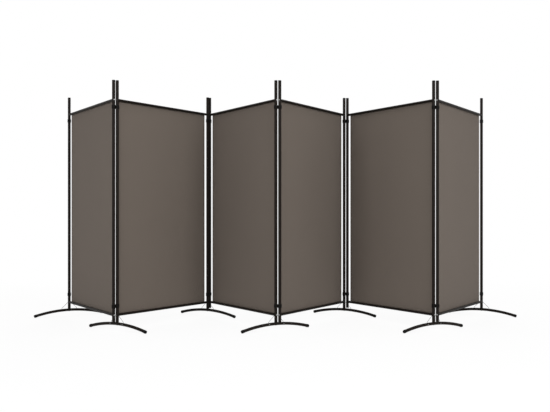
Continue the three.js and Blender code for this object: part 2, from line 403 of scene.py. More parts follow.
class Graph:
    """The nodes of a material or of the world."""

    def __init__(self, tree: bpy.types.NodeTree) -> None:
        """Takes up a tree of nodes."""
        self.tree = tree

    def node(
        self,
        kind: str,
        sockets: dict[str | int, object] | None = None,
        output: str | int = 0,
        **settings: object,
    ) -> Wire:
        """Adds a node.

        Args:
            kind: The node's type.
            sockets: The values or wires of its sockets, by name or number.
            output: The socket that it gives, by name or number.
            **settings: What is set on the node first.

        Returns:
            The chosen output.
        """
        made = self.tree.nodes.new(kind)
        for name, value in settings.items():
            setattr(made, name, value)
        for name, value in (sockets or {}).items():
            self.plug(made.inputs[name], value)
        return Wire(self, made.outputs[output])

    def plug(self, socket: bpy.types.NodeSocket, value: object) -> None:
        """Links a wire to a socket, or sets its value.

        Args:
            socket: The socket.
            value: The wire or the value.
        """
        if isinstance(value, Wire):
            self.tree.links.new(value.socket, socket)
        else:
            socket.default_value = value

    def maths(self, operation: str, first: Wire | float, second: Wire | float = 0.0) -> Wire:
        """One sum on one or two values."""
        return self.node("ShaderNodeMath", {0: first, 1: second}, operation=operation)

    def between(self, share: Wire, low: object, high: object) -> Wire:
        """A colour between two, by a share from 0 to 1."""
        sockets = {0: share, 6: low, 7: high}
        return self.node("ShaderNodeMix", sockets, output=2, data_type="RGBA")

    def speckle(self, where: Wire, scale: float, detail: float = 2.0) -> Wire:
        """Noise from 0 to 1 with so many patches a metre."""
        sockets = {"Vector": where, "Scale": scale, "Detail": detail, "Roughness": NOISE_ROUGHNESS}
        return self.node("ShaderNodeTexNoise", sockets, output="Fac")

    def stretched(self, where: Wire, scale: tuple[float, float, float]) -> Wire:
        """Coordinates scaled by a factor along each axis."""
        return self.node("ShaderNodeVectorMath", {0: where, 1: scale}, operation="MULTIPLY")

    def body_place(self) -> Wire:
        """The place on the object, in metres."""
        return self.node("ShaderNodeTexCoord", output="Object")


class Shader(Graph):
    """A material's nodes around one Principled shader."""

    def __init__(self, name: str) -> None:
        """Starts a material under a name."""
        self.material = bpy.data.materials.new(name)
        self.material.use_nodes = True
        super().__init__(self.material.node_tree)
        self.surface = self.tree.nodes["Principled BSDF"]

    def finish(self, colour: object, roughness: object, height: Wire, depth: float) -> None:
        """Sets the surface's colour, roughness and relief.

        Args:
            colour: Its base colour.
            roughness: Its roughness.
            height: The relief, from 0 to 1.
            depth: How deep the relief is, in metres.
        """
        self.plug(self.surface.inputs["Base Color"], colour)
        self.plug(self.surface.inputs["Roughness"], roughness)
        sockets = {"Height": height, "Strength": 1.0, "Distance": depth}
        self.plug(self.surface.inputs["Normal"], self.node("ShaderNodeBump", sockets))

    def steady(self, **values: object) -> None:
        """Sets what is the same all over the surface.

        Args:
            **values: The values by the names of their sockets, such as specular_ior_level.
        """
        for name, value in values.items():
            label = name.replace("_", " ").title().replace("Ior", "IOR")
            self.surface.inputs[label].default_value = value


@dataclass(frozen=True)
class PowderCoat:
    """Satin warm black powder coat with a fine orange peel and a little dust."""

    colour: Colour = painted(18, 14, 11)
    dust: Colour = painted(30, 25, 21)
    dust_share: float = 0.3
    roughness: float = 0.46
    cloud_spread: float = 0.16
    fleck_spread: float = 0.1
    specular: float = 0.06
    cloud_scale: float = 14.0
    fleck_scale: float = 260.0
    peel_scale: float = 900.0
    peel_depth: float = 0.03 * MM

    def make(self) -> bpy.types.Material:
        """Builds the material.

        Returns:
            The material.
        """
        shader = Shader("powder_coat")
        place = shader.body_place()
        peel = shader.speckle(place, self.peel_scale)
        cloud = shader.speckle(place, self.cloud_scale, detail=5.0)
        fleck = shader.speckle(place, self.fleck_scale, detail=4.0)
        dusty = fleck * self.dust_share + cloud * self.dust_share
        colour = shader.between(dusty, self.colour, self.dust)
        clouding = (cloud - 0.5) * self.cloud_spread
        roughness = self.roughness + clouding + (fleck - 0.5) * self.fleck_spread
        shader.finish(colour, roughness, peel, self.peel_depth)
        shader.steady(specular_ior_level=self.specular)
        return shader.material


@dataclass(frozen=True)
class MouldedPlastic:
    """Matt black moulded plastic with a fine spark-eroded grain."""

    colour: Colour = painted(9, 9, 8)
    rubbed: Colour = painted(20, 19, 17)
    rubbed_share: float = 0.6
    roughness: float = 0.55
    rubbing_spread: float = 0.2
    specular: float = 0.05
    rubbing_scale: float = 60.0
    grain_scale: float = 2600.0
    grain_depth: float = 0.04 * MM

    def make(self) -> bpy.types.Material:
        """Builds the material.

        Returns:
            The material.
        """
        shader = Shader("moulded_plastic")
        place = shader.body_place()
        grain = shader.speckle(place, self.grain_scale, detail=1.0)
        rubbing = shader.speckle(place, self.rubbing_scale, detail=4.0)
        colour = shader.between(rubbing * self.rubbed_share, self.colour, self.rubbed)
        roughness = self.roughness + (rubbing - 0.5) * self.rubbing_spread
        shader.finish(colour, roughness, grain, self.grain_depth)
        shader.steady(specular_ior_level=self.specular)
        return shader.material


@dataclass(frozen=True)
class BrightZinc:
    """Bright zinc plate, clouded by handling and finely scratched along its length."""

    colour: Colour = painted(160, 161, 162)
    clouded: Colour = painted(122, 122, 119)
    roughness: float = 0.36
    cloud_spread: float = 0.3
    cloud_scale: float = 180.0
    scratch_scale: float = 3200.0
    scratch_stretch: tuple[float, float, float] = (1.0, 1.0, 0.08)
    scratch_depth: float = 0.01 * MM

    def make(self) -> bpy.types.Material:
        """Builds the material.

        Returns:
            The material.
        """
        shader = Shader("bright_zinc")
        place = shader.body_place()
        cloud = shader.speckle(place, self.cloud_scale, detail=4.0)
        drawn_out = shader.stretched(place, self.scratch_stretch)
        scratch = shader.speckle(drawn_out, self.scratch_scale, detail=1.0)
        colour = shader.between(cloud, self.colour, self.clouded)
        roughness = self.roughness + (cloud - 0.5) * self.cloud_spread
        shader.finish(colour, roughness, scratch, self.scratch_depth)
        shader.steady(metallic=1.0)
        return shader.material


@dataclass(frozen=True)
class SewingThread:
    """Twisted polyester thread, a shade darker than the cloth."""

    colour: Colour = painted(70, 62, 56)
    lit: Colour = painted(92, 84, 77)
    roughness: float = 0.75
    specular: float = 0.3
    twist_scale: float = 5200.0
    twist_stretch: tuple[float, float, float] = (1.0, 1.0, 0.4)
    twist_depth: float = 0.06 * MM

    def make(self) -> bpy.types.Material:
        """Builds the material.

        Returns:
            The material.
        """
        shader = Shader("sewing_thread")
        drawn_out = shader.stretched(shader.body_place(), self.twist_stretch)
        twist = shader.speckle(drawn_out, self.twist_scale, detail=1.0)
        colour = shader.between(twist, self.colour, self.lit)
        shader.finish(colour, self.roughness, twist, self.twist_depth)
        shader.steady(specular_ior_level=self.specular)
        return shader.material


@dataclass(frozen=True)
class WovenCloth:
    """Plain-woven taupe polyester with slubs in both threads, denser where it is hemmed."""

    warp: Colour = painted(98, 89, 82)
    weft: Colour = painted(106, 98, 90)
    # The darker end of the cloth's tone: darker yarn, cloud and hem, and also the painted shade along
    # the folded side edges.
    dark_yarn_and_shade: Colour = painted(87, 79, 73)
    slub_share: float = 0.42
    cloud_share: float = 0.2
    hem_share: float = 0.22
    # How strongly a painted shade darkens the cloth along each folded side edge.
    fold_shade_share: float = 0.4
    clear_share: float = 0.12
    slub_relief_share: float = 0.6
    slub_scales: tuple[float, float] = (500.0, 14.0)
    cloud_scale: float = 3.0
    roughness: float = 0.92
    specular: float = 0.08
    sheen: float = 0.05
    sheen_roughness: float = 0.5
    pitch: float = 1.3 * MM
    relief: float = 0.16 * MM
    # How far the painted shade reaches in from each folded side edge.
    fold_shade_width: float = 4 * MM

    def make(self, width: float, hem_width: float) -> bpy.types.Material:
        """Builds the material.

        Args:
            width: The width of the cloth, which its own map has across in metres.
            hem_width: The width of its two side hems.

        Returns:
            The material.
        """
        shader = Shader("woven_cloth")
        across_up = shader.node("ShaderNodeUVMap", uv_map=WEAVE_MAP)
        across = shader.node("ShaderNodeSeparateXYZ", {0: across_up}, output="X")
        up = across.twin("Y")
        whole_warps = shader.maths("FLOOR", across / self.pitch)
        whole_wefts = shader.maths("FLOOR", up / self.pitch)
        warp_over = (whole_warps + whole_wefts) % 2.0
        weft_over = 1.0 - warp_over
        height = warp_over * self.thread(across) + weft_over * self.thread(up)
        fine, coarse = self.slub_scales
        slub_warp = shader.speckle(shader.stretched(across_up, (fine, coarse, 1.0)), 1.0)
        slub_weft = shader.speckle(shader.stretched(across_up, (coarse, fine, 1.0)), 1.0)
        slubs = warp_over * slub_warp + weft_over * slub_weft
        yarn = shader.between(warp_over, self.weft, self.warp)
        cloud = shader.speckle(across_up, self.cloud_scale, detail=3.0)
        hemmed = self.near_edge(across, width, hem_width)
        # Painted shade: the cloth is darkened along each folded side edge. The hem's darker tone is
        # the denser cloth's own.
        fold_shade = self.near_edge(across, width, self.fold_shade_width)
        edges = hemmed * self.hem_share + fold_shade * self.fold_shade_share
        darker = slubs * self.slub_share + cloud * self.cloud_share + edges - self.clear_share
        held = shader.node("ShaderNodeClamp", {"Value": darker})
        colour = shader.between(held, yarn, self.dark_yarn_and_shade)
        relief = height + slubs * self.slub_relief_share
        shader.finish(colour, self.roughness, relief, self.relief)
        shader.steady(
            specular_ior_level=self.specular,
            sheen_weight=self.sheen,
            sheen_roughness=self.sheen_roughness,
        )
        return shader.material

    def thread(self, along: Wire) -> Wire:
        """How high the round of each thread stands, from 0 at its sides to 1."""
        wave = along.graph.maths("SINE", along * (math.pi / self.pitch))
        return wave * wave

    @staticmethod
    def near_edge(across: Wire, width: float, reach: float) -> Wire:
        """1 within a reach of either side edge, and 0 elsewhere."""
        return (across < reach) + (across > width - reach)


class Layout:
    """Where the frame puts the posts and panels, and what rides on what."""

    def __init__(self) -> None:
        """Reads the posts' places and the rails' heights from the nodes."""
        self.panels = [self.panel_place(number) for number in range(1, PANELS + 1)]
        self.pitch = self.span(1)
        self.rail_heights = [self.middle(f"panel_1_{level.value}_rail").z for level in Level]

    @staticmethod
    def middle(node: str) -> Vector:
        """The middle of a node's box."""
        low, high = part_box(node)
        return (low + high) / 2

    def axis(self, panel: int, side: Side) -> Vector:
        """The foot of a post's axis on the floor."""
        middle = self.middle(f"panel_{panel}_{side.value}_post")
        return Vector((middle.x, middle.y, 0))

    def span(self, panel: int) -> float:
        """The distance between a panel's two posts."""
        return (self.axis(panel, Side.RIGHT) - self.axis(panel, Side.LEFT)).length

    @staticmethod
    def facing(start: Vector, end: Vector) -> Matrix:
        """The frame of a start on the floor, with X towards an end.

        Args:
            start: Where the frame stands.
            end: Where its X points to.

        Returns:
            The frame.
        """
        along = (end - start).normalized()
        turn = Matrix.Rotation(math.atan2(along.y, along.x), 4, "Z")
        return Matrix.Translation(start) @ turn

    def panel_place(self, panel: int) -> Matrix:
        """The frame of a panel: its left post's axis, with X along it and the cloth at +Y."""
        return self.facing(self.axis(panel, Side.LEFT), self.axis(panel, Side.RIGHT))

    def hinge_place(self, hinge: int) -> Matrix:
        """The frame of a pair of posts: the first post's axis, with X towards the second."""
        return self.facing(self.axis(hinge, Side.RIGHT), self.axis(hinge + 1, Side.LEFT))

    def column_place(self, panel: int, side: Side) -> Matrix:
        """The frame of a post, with X pointing outwards, away from the panel's cloth.

        Args:
            panel: The panel's number.
            side: The panel's end.

        Returns:
            The frame.
        """
        place = self.panels[panel - 1]
        if side is Side.LEFT:
            return place @ Matrix.Rotation(math.pi, 4, "Z")
        return place @ Matrix.Translation((self.pitch, 0, 0))

    def pair_spacing(self) -> float:
        """The distance between the two posts of a pair."""
        return (self.axis(2, Side.LEFT) - self.axis(1, Side.RIGHT)).length

    def feet(self) -> list[tuple[int, int, Side]]:
        """Finds the post that stands on each foot.

        Returns:
            Every foot's number with the panel and side of its post.
        """
        found = []
        for foot in range(1, FEET + 1):
            node = f"foot_{foot}"
            middle = self.middle(node).xy
            panel = int(frame["nodes"][node]["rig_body"].split("_")[1])
            side = min(Side, key=lambda s: (self.axis(panel, s).xy - middle).length)
            found.append((foot, panel, side))
        return found

    def columns(self) -> list[tuple[int, Side]]:
        """Every post, as its panel and side."""
        return [(panel, side) for panel in range(1, PANELS + 1) for side in Side]


class Maker:
    """Sets finished pieces down in the row frame, dressed and riding on their bodies."""

    def __init__(self) -> None:
        """Makes the finishes that the pieces share."""
        self.frame_coat = PowderCoat().make()
        self.plastic = MouldedPlastic().make()
        self.zinc = BrightZinc().make()
        self.thread = SewingThread().make()
        self.slots = {
            self.frame_coat: "frame",
            self.plastic: "plastic",
            self.zinc: "zinc",
            self.thread: "cloth",
        }

    def set_down(
        self,
        pattern: Workpiece,
        name: str,
        place: Matrix,
        body: str,
        finish: bpy.types.Material,
        stands_for: str | None = None,
    ) -> bpy.types.Object:
        """Copies a pattern to its place.

        Args:
            pattern: The modelled piece, in the frame of its post, pair or panel.
            name: The new piece's name.
            place: That frame.
            body: The body that it rides on.
            finish: Its material.
            stands_for: The node that it takes the place of, if any.

        Returns:
            The piece, with its place in its mesh.
        """
        mesh = pattern.body.data.copy()
        mesh.name = name
        mesh.transform(place)
        mesh.materials.clear()
        mesh.materials.append(finish)
        piece = bpy.data.objects.new(name, mesh)
        bpy.context.scene.collection.objects.link(piece)
        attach(piece, body)
        if stands_for is not None:
            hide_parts(stands_for)
        log.info("%s rides on %s, %d faces", name, body, len(mesh.polygons))
        return piece


def clear(*patterns: Workpiece) -> None:
    """Clears patterns off the bench once their copies are set down."""
    for pattern in patterns:
        pattern.discard()


def grow_end(piece: Workpiece, facing: Vector, steps: list[tuple[float, float]]) -> None:
    """Shapes a turned solid onwards from its end face.

    Args:
        piece: The solid.
        facing: The direction of that face.
        steps: For each step how far the face draws in and how far it then moves. A step
            that doesn't draw in extrudes instead.
    """
    reach = max(point.co.dot(facing) for point in piece.body.data.vertices)
    with piece.editing():
        piece.pick(
            Pick.FACES,
            lambda middle, normal: middle.dot(facing) > reach - CLOSE
            and normal.dot(facing) > SQUARE_ON,
        )
        for inset, move in steps:
            if inset > 0:
                bpy.ops.mesh.inset(thickness=inset)
                bpy.ops.transform.translate(value=facing * move)
            else:
                bpy.ops.mesh.extrude_region_move(TRANSFORM_OT_translate={"value": facing * move})


def round_end(piece: Workpiece, facing: Vector, width: float, steps: int) -> None:
    """Rounds the rim of a turned solid's end face.

    Args:
        piece: The solid.
        facing: The direction of that face.
        width: How far the rounding reaches from the rim.
        steps: How many facets it has.
    """
    with piece.editing():
        piece.pick(Pick.FACES, lambda middle, normal: normal.dot(facing) > SQUARE_ON)
        bpy.ops.mesh.bevel(offset=width, segments=steps, affect="EDGES")


def threaded_insert(
    radius: float, start: float, end: float, drill: float, along: Along, edge: float
) -> Workpiece:
    """A round insert with a bore right through it.

    Args:
        radius: Its outer radius.
        start: Where it starts along its axis.
        end: Where it ends.
        drill: The radius of its bore.
        along: Its axis.
        edge: How far its rims are rounded.

    Returns:
        The insert.
    """
    piece = Workpiece.rod(radius, start, end, along)
    piece.cut(Workpiece.rod(drill, start - OVERRUN, end + OVERRUN, along, DRILL_SIDES))
    piece.round_rims(edge)
    return piece.complete()


@dataclass
class Bolts:
    """Button-headed bolts with a hexagon socket, and pan-headed screws with a cross."""

    shank: float = 3 * MM
    head: float = 5 * MM
    rim: float = 0.5 * MM
    edge: float = 0.15 * MM
    socket: float = 1.7 * MM
    socket_depth: float = 1 * MM
    dome_shares: tuple[tuple[float, float], ...] = ((0.10, 0.33), (0.16, 0.24), (0.22, 0.12))
    dome: float = 1.1 * MM
    screw_shank: float = 1.7 * MM
    screw_head: float = 3.6 * MM
    screw_height: float = 2 * MM
    screw_round: float = 1.1 * MM
    screw_steps: int = 4
    screw_sides: int = 24
    cross_width: float = 0.7 * MM
    cross_reach: float = 2 * MM
    sides: int = 32

    def bolt(self, length: float) -> Workpiece:
        """A bolt along +Z with its head's seat at the origin.

        Args:
            length: How far its shank reaches.

        Returns:
            The bolt.
        """
        piece = Workpiece.rod(self.head, -self.rim, 0, sides=self.sides)
        dome = [(inset * self.head, rise * self.dome) for inset, rise in self.dome_shares]
        grow_end(piece, -UP, dome)
        grow_end(piece, UP, [(self.head - self.shank, 0.0), (0.0, length)])
        piece.round_rims(self.edge)
        hexagon = Workpiece.rod(self.socket, -self.rim - self.dome, self.socket_depth, sides=6)
        hexagon.shift(Matrix.Translation((0, 0, -self.rim)))
        piece.cut(hexagon)
        return piece.complete()

    def screw(self, length: float) -> Workpiece:
        """A cross-headed screw along +Z with its head's seat at the origin.

        Args:
            length: How far its shank reaches.

        Returns:
            The screw.
        """
        piece = Workpiece.rod(self.screw_head, -self.screw_height, 0, sides=self.screw_sides)
        round_end(piece, -UP, self.screw_round, self.screw_steps)
        grow_end(piece, UP, [(self.screw_head - self.screw_shank, 0.0), (0.0, length)])
        arm = (2 * self.cross_width, 2 * self.cross_reach)
        for across, along in (arm, arm[::-1]):
            size = Vector((across, along, self.screw_height))
            piece.cut(Workpiece.block(size, -self.screw_height * UP))
        return piece.complete()


@dataclass
class Foot:
    """An arched tube with a cap over each end, a bolt up into the post, and a braced stay."""

    radius: float = 11 * MM
    wall: float = 1 * MM
    half_span: float = 280 * MM
    rise: float = 36 * MM
    cap_radius: float = 12 * MM
    cap_head: float = 8 * MM
    cap_lap: float = 12 * MM
    cap_edge: float = 2 * MM
    cap_round: float = 4.4 * MM
    cap_rim: float = 0.25 * MM
    floor_flat: float = 2 * MM
    bolt_reach: float = 24 * MM
    stay_radius: float = 1.25 * MM
    stay_reach: float = 62 * MM
    stay_bend: float = 6 * MM
    stay_crest: float = 4 * MM
    stay_fillet: float = 5 * MM
    screw_sink: float = 0.5 * MM
    tube_sides: int = 32
    tube_steps: int = 48
    cap_sides: int = 40
    cap_steps: int = 7
    fillet_steps: int = 6
    wire_steps: int = 3
    bolts: Bolts = field(default_factory=Bolts)

    @property
    def sweep(self) -> float:
        """Half the angle of the arch."""
        return math.atan2(2 * self.half_span * self.rise, self.half_span**2 - self.rise**2)

    @property
    def arc_radius(self) -> float:
        """The radius of the arch's centre line."""
        return self.half_span / math.sin(self.sweep)

    @property
    def end_height(self) -> float:
        """The height of the centre line at the tube's ends."""
        lean = (self.cap_head - self.cap_edge) * math.sin(self.sweep)
        return self.cap_radius * math.cos(self.sweep) + lean - self.floor_flat

    @property
    def crown(self) -> float:
        """The height of the centre line under the post."""
        return self.end_height + self.rise

    def height_at(self, distance: float) -> float:
        """The height of the centre line at a distance from the post."""
        return self.crown - self.arc_radius + math.sqrt(self.arc_radius**2 - distance**2)

    @property
    def stay_knee(self) -> float:
        """The height where the stay turns down into the foot."""
        return self.height_at(self.stay_reach) + self.radius + self.stay_bend

    def tube(self) -> Workpiece:
        """The arched tube, drilled for the post's bolt, the stay's ends and their screws.

        Returns:
            The tube.
        """
        end = Vector((0, -self.half_span, self.end_height))
        along = Vector((0, math.cos(self.sweep), math.sin(self.sweep)))
        piece = Workpiece.hoop(self.radius, self.tube_sides, end, along)
        with piece.editing():
            bpy.ops.mesh.select_all(action="SELECT")
            bpy.ops.mesh.spin(
                steps=self.tube_steps,
                angle=2 * self.sweep,
                center=(0, 0, self.crown - self.arc_radius),
                axis=(1, 0, 0),
            )
        piece.face_outwards()
        piece.hollow(self.wall)
        reach = 2 * self.radius
        level = self.height_at(self.stay_reach)
        piece.cut(Workpiece.rod(self.bolts.shank + CLEARANCE, self.crown - reach, self.crown + reach))
        for side in (-1, 1):
            spot = Vector((0, side * self.stay_reach, 0))
            wire_hole = Workpiece.rod(
                self.stay_radius + CLEARANCE, level, self.stay_knee, sides=WIRE_SIDES, centre=spot
            )
            screw_hole = Workpiece.rod(
                self.bolts.screw_shank + CLEARANCE / 2,
                0,
                reach,
                Along.X,
                WIRE_SIDES,
                centre=spot + level * UP,
            )
            piece.cut(wire_hole, screw_hole)
        return piece.complete()

    def cap(self) -> Workpiece:
        """The soft cap over the tube's +Y end, worn flat where it stands on the floor.

        Returns:
            The cap.
        """
        piece = Workpiece.rod(self.cap_radius, -self.cap_lap, self.cap_head, sides=self.cap_sides)
        round_end(piece, UP, self.cap_round, self.cap_steps)
        mouth = self.cap_radius - self.radius - FIT
        grow_end(piece, -UP, [(mouth, 0.0), (0.0, -self.cap_lap)])
        piece.round_rims(self.cap_rim)
        direction = Vector((0, math.cos(self.sweep), -math.sin(self.sweep)))
        facing = direction.to_track_quat("Z", "X").to_matrix().to_4x4()
        end = Vector((0, self.half_span, self.end_height))
        piece.shift(Matrix.Translation(end) @ facing)
        with piece.editing():
            bpy.ops.mesh.select_all(action="SELECT")
            bpy.ops.mesh.bisect(
                plane_co=(0, 0, 0), plane_no=(0, 0, 1), use_fill=True, clear_inner=True
            )
        return piece.complete()

    def bolt(self) -> Workpiece:
        """The bolt that comes up through the tube, with its head underneath.

        Returns:
            The bolt.
        """
        piece = self.bolts.bolt(2 * self.radius + INSERT_GAP + self.bolt_reach)
        piece.shift(Matrix.Translation((0, 0, self.crown - self.radius)))
        return piece

    def screw(self) -> Workpiece:
        """The screw in the tube's outward wall, which grips the end of the stay at +Y.

        Returns:
            The screw.
        """
        seat = self.radius - self.screw_sink
        piece = self.bolts.screw(seat - self.stay_radius - CLEARANCE)
        inward = Matrix.Rotation(-math.pi / 2, 4, "Y")
        level = self.height_at(self.stay_reach)
        piece.shift(Matrix.Translation((seat, self.stay_reach, level)) @ inward)
        return piece

    def stay_corners(self, peak: float) -> list[Vector]:
        """The corners of the stay's line: over the rail's bolt, straight to each knee, and down.

        Args:
            peak: The height of its crest.

        Returns:
            The corners from one end to the other.
        """
        half = [
            Vector((0, self.stay_crest, peak)),
            Vector((0, self.stay_reach, self.stay_knee)),
            Vector((0, self.stay_reach, self.height_at(self.stay_reach))),
        ]
        mirrored = [Vector((0, -corner.y, corner.z)) for corner in reversed(half)]
        return mirrored + half

    def stay(self, peak: float) -> Workpiece:
        """The bent wire that braces the post on the foot.

        Args:
            peak: The height of its crest.

        Returns:
            The wire as a mesh.
        """
        path = rounded(self.stay_corners(peak), self.stay_fillet, self.fillet_steps)
        bpy.ops.object.select_all(action="DESELECT")
        bpy.ops.curve.primitive_bezier_curve_add()
        wire = bpy.context.object
        wire.data.splines.clear()
        spline = wire.data.splines.new("POLY")
        spline.points.add(len(path) - 1)
        for point, place in zip(spline.points, path):
            point.co = (*place, 1.0)
        wire.data.dimensions = "3D"
        wire.data.bevel_depth = self.stay_radius
        wire.data.bevel_resolution = self.wire_steps
        wire.data.use_fill_caps = True
        bpy.ops.object.convert(target="MESH")
        return Workpiece().complete(SOFT_ANGLE)

    def leg_holes(self, peak: float) -> list[Workpiece]:
        """The tools that drill a post for the stay's two legs.

        Args:
            peak: The height of the stay's crest.

        Returns:
            A rod along each leg.
        """
        tools = []
        for side in (-1, 1):
            start = Vector((0, side * self.stay_crest, peak))
            leg = Vector((0, side * self.stay_reach, self.stay_knee)) - start
            tool = Workpiece.rod(self.stay_radius + CLEARANCE, 0, leg.length, sides=WIRE_SIDES)
            turn = leg.to_track_quat("Z", "X").to_matrix().to_4x4()
            tool.shift(Matrix.Translation(start) @ turn)
            tools.append(tool)
        return tools


def rounded(corners: list[Vector], radius: float, steps: int) -> list[Vector]:
    """A line with its corners rounded off.

    Args:
        corners: The line's corners, with its two ends.
        radius: How far from each corner its rounding starts, at most half of a stretch.
        steps: How many stretches each rounding has.

    Returns:
        The points of the rounded line.
    """
    points = [corners[0]]
    for before, corner, after in zip(corners, corners[1:], corners[2:]):
        reach = min(radius, (before - corner).length / 2, (after - corner).length / 2)
        start = corner + (before - corner).normalized() * reach
        end = corner + (after - corner).normalized() * reach
        for step in range(steps + 1):
            share = step / steps
            points.append(start.lerp(corner, share).lerp(corner.lerp(end, share), share))
    points.append(corners[-1])
    return points


@dataclass
class Post:
    """A side post: a tube with a domed cap, and a plug or a threaded insert at its foot."""

    radius: float = 11.5 * MM
    wall: float = 0.8 * MM
    rim: float = 0.12 * MM
    cap_head: float = 10 * MM
    cap_round: float = 2.2 * MM
    crown_rise: float = 0.15 * MM
    crown_shares: tuple[float, ...] = (0.3, 0.3)
    plug_depth: float = 16 * MM
    plug_head: float = 2 * MM
    plug_round_share: float = 1 / 3
    plug_taper: float = 0.5 * MM
    insert_height: float = 22 * MM
    insert_edge: float = 0.4 * MM
    floor_gap: float = 2 * MM
    sides: int = 48
    cap_steps: int = 5

    @property
    def bore(self) -> float:
        """The radius inside the tube."""
        return self.radius - self.wall

    def tube(
        self, bottom: float, top: float, rail_heights: list[float], drill: float
    ) -> Workpiece:
        """The bare tube, drilled along X for the bolts of its two rails.

        Args:
            bottom: The height of its lower end.
            top: The height of its upper end.
            rail_heights: Where it is drilled.
            drill: The radius of the holes.

        Returns:
            The tube.
        """
        piece = Workpiece.rod(self.radius, bottom, top, sides=self.sides, closed=False)
        piece.hollow(self.wall)
        piece.round_rims(self.rim, steps=1)
        reach = 2 * self.radius
        for height in rail_heights:
            hole = Workpiece.rod(drill, -reach, reach, Along.X, DRILL_SIDES, centre=height * UP)
            piece.cut(hole)
        return piece

    def plug(self, head: float, rounding: float) -> Workpiece:
        """A plastic plug with its head above the origin and its shank below.

        Args:
            head: The height of its head.
            rounding: How far the head's edge is rounded.

        Returns:
            The plug.
        """
        rim = head - self.crown_rise * len(self.crown_shares)
        piece = Workpiece.rod(self.radius, 0, rim, sides=self.sides)
        round_end(piece, UP, rounding, self.cap_steps)
        inner = self.radius - rounding
        grow_end(piece, UP, [(share * inner, self.crown_rise) for share in self.crown_shares])
        taper = self.plug_taper
        shank = [(self.wall + FIT, 0.0), (0.0, self.plug_depth - 2 * taper), (taper, 2 * taper)]
        grow_end(piece, -UP, shank)
        return piece.complete()

    def insert(self, drill: float) -> Workpiece:
        """The threaded insert that takes a foot's bolt, with its lower end at the origin."""
        outer = self.bore - FIT
        return threaded_insert(outer, 0, self.insert_height, drill, Along.Z, self.insert_edge)


@dataclass
class Rail:
    """A cross rail: a tube coped to both posts and slotted along its back for the cloth."""

    radius: float = 9.5 * MM
    wall: float = 0.8 * MM
    slot: float = 2.2 * MM
    insert_length: float = 13 * MM
    insert_edge: float = 0.3 * MM
    sides: int = 48

    @property
    def bore(self) -> float:
        """The radius inside the tube."""
        return self.radius - self.wall

    def tube(self, length: float, post_radius: float) -> Workpiece:
        """The tube from post axis to post axis, less what the posts take away.

        Args:
            length: The distance between the post axes.
            post_radius: The radius of the posts.

        Returns:
            The tube, at height zero.
        """
        piece = Workpiece.rod(self.radius, 0, length, Along.X, self.sides, closed=False)
        piece.hollow(self.wall)
        slot = Vector((length + 2 * OVERRUN, 2 * self.radius, self.slot))
        piece.cut(Workpiece.block(slot, Vector((length / 2, self.radius, 0))))
        cope, reach = post_radius + CLEARANCE, self.radius + OVERRUN
        for end in (0, length):
            post = Vector((end, 0, 0))
            piece.cut(Workpiece.rod(cope, -reach, reach, sides=self.sides, centre=post))
        return piece.complete()

    def insert(self, post_radius: float, drill: float) -> Workpiece:
        """The threaded insert in a rail's end, in the frame of its post.

        Args:
            post_radius: The radius of the post.
            drill: The radius of its bore.

        Returns:
            The insert, at height zero, on the -X side of the post.
        """
        start = post_radius + INSERT_GAP
        end = start + self.insert_length
        return threaded_insert(self.bore - FIT, -end, -start, drill, Along.X, self.insert_edge)


@dataclass
class Clip:
    """A moulded clip: a figure eight around a pair of posts, or a collar around one."""

    height: float = 25 * MM
    wall: float = 2 * MM
    waist: float = 5 * MM
    edge: float = 0.9 * MM
    edge_steps: int = 3
    edge_angle: float = 40.0
    bore_flats: int = 10
    sides: int = 64

    def outer(self, post_radius: float) -> float:
        """The outer radius of each ring."""
        return (post_radius + CLEARANCE) / math.cos(math.pi / self.bore_flats) + self.wall

    def moulding(self, post_radius: float, spacing: float) -> Workpiece:
        """A clip centred on height zero.

        Args:
            post_radius: The radius of the posts.
            spacing: The distance between the two posts, or zero for a collar.

        Returns:
            The clip.
        """
        half = self.height / 2
        outer = self.outer(post_radius)
        places = [0.0, spacing] if spacing > 0 else [0.0]
        piece = Workpiece.rod(outer, -half, half, sides=self.sides)
        if spacing > 0:
            second = Workpiece.rod(
                outer, -half, half, sides=self.sides, centre=Vector((spacing, 0, 0))
            )
            web = Workpiece.block(
                Vector((spacing, 2 * self.waist, self.height)), Vector((spacing / 2, 0, 0))
            )
            piece.add(second, web)
        for place in places:
            bore = Workpiece.rod(
                post_radius + CLEARANCE,
                -self.height,
                self.height,
                sides=self.sides,
                centre=Vector((place, 0, 0)),
            )
            piece.cut(bore)
        piece.round_rims(self.edge, self.edge_steps, self.edge_angle)
        return piece.complete()


